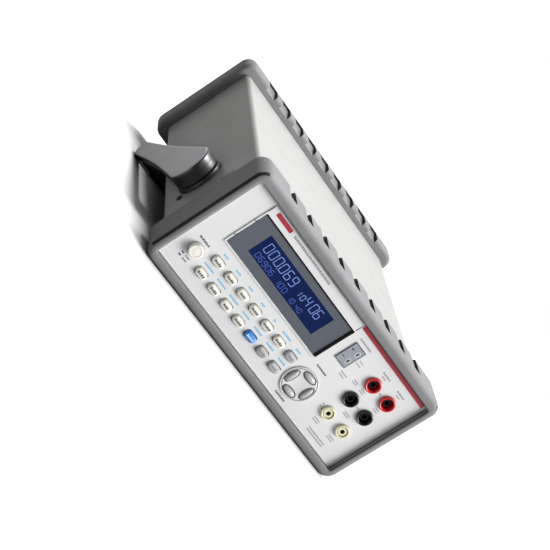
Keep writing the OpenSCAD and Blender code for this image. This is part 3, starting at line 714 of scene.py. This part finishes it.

# ---- Terminals ----

# Each well goes on inwards from the rim with (radius, y), and its shades say which spans are deep and take the
# painted shade.
WIDE_WELL = [(4.6, 3.4), (4.4, 4.4), (4.3, 9.4), (3.2, 9.4), (3.2, 6.2), (2.9, 5.8), (2.3, 5.8),
             (2.05, 6.2), (2.0, 12.0), (0.3, 12.0)]
RINGED_WELL = [(4.05, 3.3), (4.0, 5.0), (3.75, 5.0), (3.7, 3.6), (3.5, 3.3), (2.3, 3.25),
               (1.9, 3.4), (1.75, 4.0), (1.7, 9.0), (0.3, 9.0)]
WELLS = {"terminal_red": (WIDE_WELL, [0, 0, 1, 1, 1, 1, 1, 1, 1]),
         "terminal_black": (WIDE_WELL, [0, 0, 1, 1, 1, 1, 1, 1, 1]),
         "terminal_cream": (RINGED_WELL, [0, 1, 1, 0, 0, 0, 0, 1, 1])}
for node, (x, z, slot) in JACKS.items():
    r = JACK_R[slot]
    well, shades = WELLS[slot]
    profile = [(r - 0.6, 32.0), (r - 0.6, 7.6), (r, 7.5), (r, 3.5), (r - 0.15, 2.95),
               (r - 0.5, 2.6), (r - 1.0, 2.5), (r - 1.5, 2.7)]
    collar = Shape().rings(lathe_y(x, z, profile + well), mark=[0] * len(profile) + shades)
    piece(f"{node}_body", collar, [PAINT[slot], WELL_SHADE_PAINT[slot]], replaces=[node])

TC_FRONT = 4.2
tc = Shape().rings(plate_rings(*TC, 0.6, rolled(26.0, TC_FRONT, 0.4, 3)))
slots = Shape()
TC_SLOTS = [(TC[0] + 2.65, TC[1] + 4.5), (TC[0] + 2.65, TC[1] - 3.9)]
for x, z in TC_SLOTS:
    slots.rings(plate_rings(x, z, 1.1, 3.0, 0.5, [(20, 0), (3, 0)]))
piece("tc_socket_body", tc, [PAINT["socket_grey"]], replaces=["tc_socket"],
      cuts=[slots], bevel=0.12)

# ---- Printed marks: plain bars and digits, no lettering ----

black, grey, blue = Shape(), Shape(), Shape()


def bar(shape, x, z, w, h, y=FACE):
    """One printed bar on the surface at y."""
    steps = [(y + 0.1, 0), (y - 0.03, 0)]
    shape.rings(plate_rings(x, z, w, h, min(0.15, w / 2, h / 2), steps, 2))


def legend(shape, x, z, w, h, y=FACE):
    """A row of short bars where the real panel carries a caption."""
    count = max(1, round(w / (h * 0.82)))
    step = w / count
    for i in range(count):
        tall = h * (1.0, 0.8, 1.0, 0.9)[i % 4]
        bar(shape, x - w / 2 + step * (i + 0.5), z - (h - tall) / 2, step * 0.72, tall, y)


CAPTION_W = {"upper": (5.5, 5.5, 5.0, 4.5, 2.4, 10.0, 6.0),
             "lower": (11.0, 10.0, 10.5, 8.5, 9.5, 9.0, 8.5)}
for row, widths in CAPTION_W.items():
    for x, w in zip(KEY_X, widths):
        legend(blue, x, KEY_Z[row] + 7.0, w, 1.7)

legend(black, POWER[0] - 1.2, 39.2, 11.0, 1.8)
for z in (21.9, 19.0):
    bar(black, -99.0, z, 2.4, 1.2)
    legend(black, -93.6, z, 4.6, 1.3)
for z in (50.2, 13.0):
    legend(black, PAD[0], z, 12.0, 1.7)
tc_minus, tc_plus, half_w, half_h = TC[1] - 4.1, TC[1] + 4.5, TC[2] / 2 - 0.3, TC[3] / 2 - 0.3
for x, z, w, h in ((TC[0] - 3.1, tc_plus, 2.5, 0.7), (TC[0] - 3.1, tc_plus, 0.7, 2.0),
                   (TC[0] - 3.1, tc_minus, 2.6, 0.7),
                   (TC[0], TC[1] + half_h, TC[2], 0.5), (TC[0], TC[1] - half_h, TC[2], 0.5),
                   (TC[0] + half_w, TC[1], 0.5, TC[3]), (TC[0] - half_w, TC[1], 0.5, TC[3])):
    bar(black, x, z, w, h, TC_FRONT)

GREY_CAPTIONS = [(TC[0], 88.0, 14.0, 1.7), (49.6, 77.5, 4.5, 1.1), (49.6, 74.6, 5.5, 1.1),
                 (49.8, 62.0, 7.5, 1.2), (49.8, 59.6, 6.0, 1.2)]
for x in JACK_X:
    GREY_CAPTIONS += [(x, 86.8, 9.5, 1.6), (x, 84.2, 4.5, 1.1)]
GREY_CAPTIONS += [(x, z, 5.0, 1.1) for z in (65.9, 64.0) for x in (60.8, *JACK_X)]
GREY_CAPTIONS += [(x, z, 7.0, 1.1) for x in JACK_X for z in (24.6, 22.6)]
GREY_CAPTIONS += [(80.0, z, 7.0, 1.1) for z in (45.6, 43.8)]
GREY_CAPTIONS += [(82.0, z, 20.0, 1.2) for z in (16.4, 14.2)]
GREY_CAPTIONS += [(80.0, z, 2.6, 1.3) for z in (74.8, 54.7)]
for caption in GREY_CAPTIONS:
    legend(grey, *caption)
for z in (36.0, 33.2):
    bar(grey, 61.6, z, 1.2, 1.2)
legend(grey, -40.7, 93.2, 46.0, 2.0, 4.1)

for name, shape, paint in (("black", black, BLACK_INK), ("grey", grey, GREY_INK),
                           ("blue", blue, BLUE_INK)):
    piece(f"marks_{name}", shape, [paint])

KEY_MARK_W = (7.0, 7.0, 5.6, 7.2, 7.6, 7.0, 5.0)
KEY_INK = {"key_cream": BLACK_INK, "key_grey": GREY_INK, "key_blue": PALE_INK}
for i, (x, w) in enumerate(zip(KEY_X, KEY_MARK_W)):
    for row, z in KEY_Z.items():
        node = f"{row}_key_{i + 1}"
        shape = Shape()
        legend(shape, x, z, w, 1.9, KEY_FRONT)
        piece(f"{node}_mark", shape, [KEY_INK[slot_of[node]]], node)

rims = Shape()
for x, z in TC_SLOTS:
    outer = plate_rings(x, z, 3.0, 5.1, 1.45, [(4.25, 0), (4.05, 0)], 6)
    inner = plate_rings(x, z, 2.0, 4.0, 0.95, [(4.05, 0), (4.25, 0)], 6)
    rims.rings(outer + inner, loop=True)
piece("tc_rims", rims, [PAINT["panel_plastic"]])

SEGMENTS = {"0": "abcdef", "1": "bc", "4": "bcfg", "6": "acdefg", "9": "abcdfg"}


def stroke(shape, x, z, w, h):
    """One lit stroke on the display."""
    steps = [(LCD_FRONT + 0.1, 0), (LCD_FRONT - 0.02, 0)]
    shape.rings(plate_rings(x, z, w, h, 0.2, steps, 2))


def digit(shape, char, x, z, w, h, t):
    """One seven-segment digit with its lower left corner at x, z and strokes t thick."""
    spots = {
        "a": (x + w / 2, z + h, w - t, t), "d": (x + w / 2, z, w - t, t),
        "g": (x + w / 2, z + h / 2, w - t, t),
        "f": (x, z + h * 0.75, t, h / 2 - t), "b": (x + w, z + h * 0.75, t, h / 2 - t),
        "e": (x, z + h * 0.25, t, h / 2 - t), "c": (x + w, z + h * 0.25, t, h / 2 - t),
    }
    for s in SEGMENTS[char]:
        sx, sz, sw, sh = spots[s]
        stroke(shape, sx, sz, sw + 0.1, sh + 0.1)


lit, dim = Shape(), Shape()
for i, char in enumerate("000069"):
    digit(lit, char, -67.5 + 6.35 * i, 68.9, 4.2, 8.0, 0.5)
stroke(lit, -49.6, 68.7, 0.7, 0.7)
for char, x, w, h in (("1", -25.4, 2.4, 4.6), ("0", -20.6, 2.8, 4.6), ("4", -16.2, 3.4, 7.8),
                      ("0", -9.4, 4.2, 8.0), ("6", -3.6, 4.0, 8.0)):
    digit(lit, char, x, 68.9, w, h, 0.5)
for i, char in enumerate("06906"):
    digit(dim, char, -67.4 + 4.3 * i, 61.6, 2.9, 4.4, 0.4)
for i, char in enumerate("100"):
    digit(dim, char, -42.4 + 4.5 * i, 61.5, 2.9, 4.4, 0.4)
for char, x in (("1", -26.0), ("0", -22.4), ("4", -17.0), ("0", -13.2)):
    digit(dim, char, x, 61.5, 2.3, 3.8, 0.4)
piece("lit_digits", lit, [LIT])
piece("dim_digits", dim, [DIM])

# ---- Handle ----

g_lo, g_hi = unit_box("handle_grip")
grip_c = (g_lo + g_hi) / 2
reach = math.hypot(grip_c.y - PIVOT_Y, grip_c.z - PIVOT_Z)
slope = math.atan2(grip_c.z - PIVOT_Z, grip_c.y - PIVOT_Y)
GRIP_R = (g_hi.z - g_lo.z) / 2
HUB_R = 18.5
a_lo, a_hi = unit_box("handle_arm_right")
ARM_OUT, HUB_IN = a_hi.x, a_lo.x
ARM_IN = g_hi.x
ARM_ROLL = 2.6
HALF = [(0, HUB_R), (30, 14.6), (58, 11.7), (90, 9.8), (reach, GRIP_R)]


def half_width(s):
    """Smooth half width of an arm at the distance s from the pivot."""
    for (s0, h0), (s1, h1) in zip(HALF, HALF[1:]):
        if s <= s1:
            return h0 + (h1 - h0) * (s - s0) / (s1 - s0)
    return GRIP_R


def arm_outline():
    points = [(s, half_width(s)) for s in [reach * i / 24 for i in range(1, 24)]]
    smooth = [points[0]]
    for a, b, c in zip(points, points[1:], points[2:]):
        smooth.append((b[0], (a[1] + 2 * b[1] + c[1]) / 4))
    smooth.append(points[-1])
    end = [(reach + GRIP_R * math.sin(a), GRIP_R * math.cos(a))
           for a in [math.pi * i / 16 for i in range(17)]]
    hub = [(-HUB_R * math.sin(a), -HUB_R * math.cos(a))
           for a in [math.pi * i / 32 for i in range(33)]]
    return smooth + end + [(s, -h) for s, h in reversed(smooth)] + hub


def inset(points, d):
    """Moves a smooth closed outline inwards by d."""
    n = len(points)
    moved = []
    for i in range(n):
        (ax, ay), (bx, by) = points[i - 1], points[(i + 1) % n]
        tx, ty = bx - ax, by - ay
        length = math.hypot(tx, ty) or 1.0
        moved.append((points[i][0] - d * -ty / length, points[i][1] - d * tx / length))
    return moved


OUTLINE = arm_outline()


def arm_ring(side, x, d):
    c, s = math.cos(slope), math.sin(slope)
    return [(side * x, PIVOT_Y + a * c - b * s, PIVOT_Z + a * s + b * c)
            for a, b in inset(OUTLINE, d)]


SIDES = ((-1, "left"), (1, "right"))
for side, word in SIDES:
    rings = [arm_ring(side, ARM_IN, 1.0), arm_ring(side, ARM_IN + 0.3, 0.3),
             arm_ring(side, ARM_IN + 1.0, 0.0)]
    rings += [arm_ring(side, ARM_OUT - ARM_ROLL * x, ARM_ROLL * k) for x, k in quarter(6)]
    arm = Shape().rings(rings, mark=[1, 1, 1, 1, 1, 1, 0, 0, 0])
    drum = [(12.1, side * HUB_IN), (17.6, side * HUB_IN), (18.2, side * (HUB_IN + 0.6)),
            (18.3, side * (HUB_IN + 1.2)), (18.3, side * (ARM_IN + 1.5)),
            (12.1, side * (ARM_IN + 1.5))]
    arm.rings(lathe_x(PIVOT_Y, PIVOT_Z, drum, 96), mark=1, loop=True)
    piece(f"handle_arm_{word}_cover", arm, [PAINT["handle_silver"], PAINT["handle_dark"]],
          "handle", [f"handle_arm_{word}"])
    half = CASE_W / 2
    base = [(3.3, side * half), (19.4, side * half), (19.4, side * (half + 2.4)),
            (19.1, side * (half + 3.0)), (18.6, side * (half + 3.2)), (12.0, side * (half + 3.2)),
            (12.0, side * (half + 9.3)), (11.6, side * (half + 9.7)), (6.0, side * (half + 9.7)),
            (6.0, side * (half + 5.2)), (3.3, side * (half + 5.2))]
    disc = Shape().rings(lathe_x(PIVOT_Y, PIVOT_Z, base, 96), loop=True)
    piece(f"pivot_base_{word}_disc", disc, [PAINT["handle_dark"]],
          replaces=[f"pivot_base_{word}"])

SIDE_SCREW = (82.5, 25.7)
for side, word in SIDES:
    half = side * CASE_W / 2
    tab = Shape()
    tab.box(*sorted((half, half + side * 1.6)), 47.0, 62.0, 64.0, 76.0)
    tab.box(*sorted((half, half + side * 2.8)), 49.5, 56.5, 65.5, 74.5)
    piece(f"handle_stop_{word}", tab, [PAINT["handle_dark"]], bevel=0.7, steps=3)
    head = [(0.6, half + side * 0.2), (2.6, half + side * 0.1), (2.6, half + side * 0.7),
            (2.2, half + side * 1.1), (1.1, half + side * 1.2), (1.0, half + side * 0.6),
            (0.3, half + side * 0.6)]
    piece(f"side_screw_{word}", Shape().rings(lathe_x(*SIDE_SCREW, head, 32)),
          [PAINT["inlet_black"]])

bar_end = [(GRIP_R - 0.02, 102.0), (GRIP_R - 0.3, 103.2), (GRIP_R - 0.8, 104.0),
           (GRIP_R - 0.8, ARM_IN)]
waist = [(GRIP_R - 0.02 - 0.1 * (1 - (i / 8) ** 2), 12.0 * i) for i in range(-8, 9)]
bar_profile = [(r, -x) for r, x in reversed(bar_end)] + waist + bar_end
piece("handle_bar", Shape().rings(lathe_x(grip_c.y, grip_c.z, bar_profile, 72)),
      [PAINT["handle_dark"]], "handle", ["handle_grip"])

# ---- Floor, light and camera ----

floor_mesh = bpy.data.meshes.new("floor")
FLOOR = 6.0
corners = [(FLOOR * x, FLOOR * y, 0) for x, y in ((-1, -1), (1, -1), (1, 1), (-1, 1))]
floor_mesh.from_pydata(corners, [], [(0, 1, 2, 3)])
floor = bpy.data.objects.new("floor", floor_mesh)
bpy.context.scene.collection.objects.link(floor)
ground = Nodes("floor_paper")
# The camera sees white paper. What the paper throws back onto the unit is much less.
tones = [(0.3, (0.79, 0.79, 0.79)), (0.7, (0.82, 0.82, 0.82))]
ground.link(ground.ramp(ground.noise(3.0, 2.0), tones), ground.shader.inputs["Base Color"])
ground.link(ground.span(ground.noise(30.0), 0.75, 0.85), ground.shader.inputs["Roughness"])
ground.shader.inputs["Specular IOR Level"].default_value = 0.2
dull = ground.tree.nodes.new("ShaderNodeBsdfDiffuse")
dull.inputs["Color"].default_value = (0.28, 0.28, 0.28, 1)
ray = ground.tree.nodes.new("ShaderNodeLightPath")
paper = ground.tree.nodes.new("ShaderNodeMixShader")
ground.link(ray.outputs["Is Camera Ray"], paper.inputs["Fac"])
ground.link(dull.outputs[0], paper.inputs[1])
ground.link(ground.shader.outputs[0], paper.inputs[2])
ground.link(paper.outputs[0], ground.out.inputs["Surface"])
floor_mesh.materials.append(ground.mat)

# The studio is white to the eye. What lights the unit is three soft sources, overhead, in front
# on the right and low behind, and a key light from above. Each source is (direction, tightness,
# strength).
SOURCES = [((0.3, 0.25, 0.92), 3.0, 1.2), ((0.78, -0.6, 0.45), 22.0, 20.2),
           ((0.1, 0.96, 0.26), 6.0, 1.1)]
KEY_DIRECTION, KEY_ENERGY, KEY_ANGLE = (0.12, 0.1, 0.96), 3.6, 18
world = bpy.data.worlds.new("studio")
world.use_nodes = True
tree = world.node_tree
white = tree.nodes["Background"]
white.inputs["Color"].default_value = (1, 1, 1, 1)
white.inputs["Strength"].default_value = 1.0
around = tree.nodes.new("ShaderNodeTexCoord")


def studio_math(operation, a, b):
    n = tree.nodes.new("ShaderNodeMath")
    n.operation = operation
    for socket, value in zip(n.inputs, (a, b)):
        if isinstance(value, float):
            socket.default_value = value
        else:
            tree.links.new(value, socket)
    return n.outputs[0]


total = 0.0
for direction, tight, strength in SOURCES:
    facing = tree.nodes.new("ShaderNodeVectorMath")
    facing.operation = "DOT_PRODUCT"
    facing.inputs[1].default_value = Vector(direction).normalized()
    tree.links.new(around.outputs["Generated"], facing.inputs[0])
    lobe = studio_math("MAXIMUM", facing.outputs["Value"], 0.0)
    lobe = studio_math("POWER", lobe, tight)
    total = studio_math("ADD", studio_math("MULTIPLY", lobe, strength), total)
soft = tree.nodes.new("ShaderNodeBackground")
tree.links.new(total, soft.inputs["Strength"])
soft.inputs["Color"].default_value = (1, 1, 1, 1)
seen = tree.nodes.new("ShaderNodeLightPath")
pick = tree.nodes.new("ShaderNodeMixShader")
tree.links.new(seen.outputs["Is Camera Ray"], pick.inputs["Fac"])
tree.links.new(soft.outputs["Background"], pick.inputs[1])
tree.links.new(white.outputs["Background"], pick.inputs[2])
tree.links.new(pick.outputs["Shader"], tree.nodes["World Output"].inputs["Surface"])
bpy.context.scene.world = world

key = bpy.data.objects.new("key", bpy.data.lights.new("key", "SUN"))
key.data.energy = KEY_ENERGY
key.data.angle = math.radians(KEY_ANGLE)
key.rotation_mode = "QUATERNION"
key.rotation_quaternion = Vector(KEY_DIRECTION).to_track_quat("Z", "Y")
bpy.context.scene.collection.objects.link(key)

bpy.context.scene.view_settings.view_transform = "Standard"

# The photograph was taken from the front left, and roll is how far it is turned.
CAMERA_AT, LENS, SENSOR = (-404.9, -892.6, 248.6), 90.05, 36.0
azimuth, elevation, roll = math.radians(-21.77), math.radians(10.75), math.radians(57.47)
view = turn.to_3x3() @ Vector((math.cos(elevation) * -math.sin(azimuth),
                               math.cos(elevation) * math.cos(azimuth), -math.sin(elevation)))
up_hint = turn.to_3x3() @ Vector((0, 0, 1))
right = view.cross(up_hint).normalized()
up = right.cross(view)
cam_x = math.cos(roll) * right + math.sin(roll) * up
cam_y = -math.sin(roll) * right + math.cos(roll) * up
camera = bpy.data.objects.new("camera", bpy.data.cameras.new("camera"))
camera.data.sensor_width = SENSOR
camera.data.lens = LENS
camera.data.clip_start = 0.05
pose = Matrix((cam_x, cam_y, -view)).transposed().to_4x4()
pose.translation = UNIT @ Vector(CAMERA_AT)
camera.matrix_world = pose
bpy.context.scene.collection.objects.link(camera)
bpy.context.scene.camera = camera
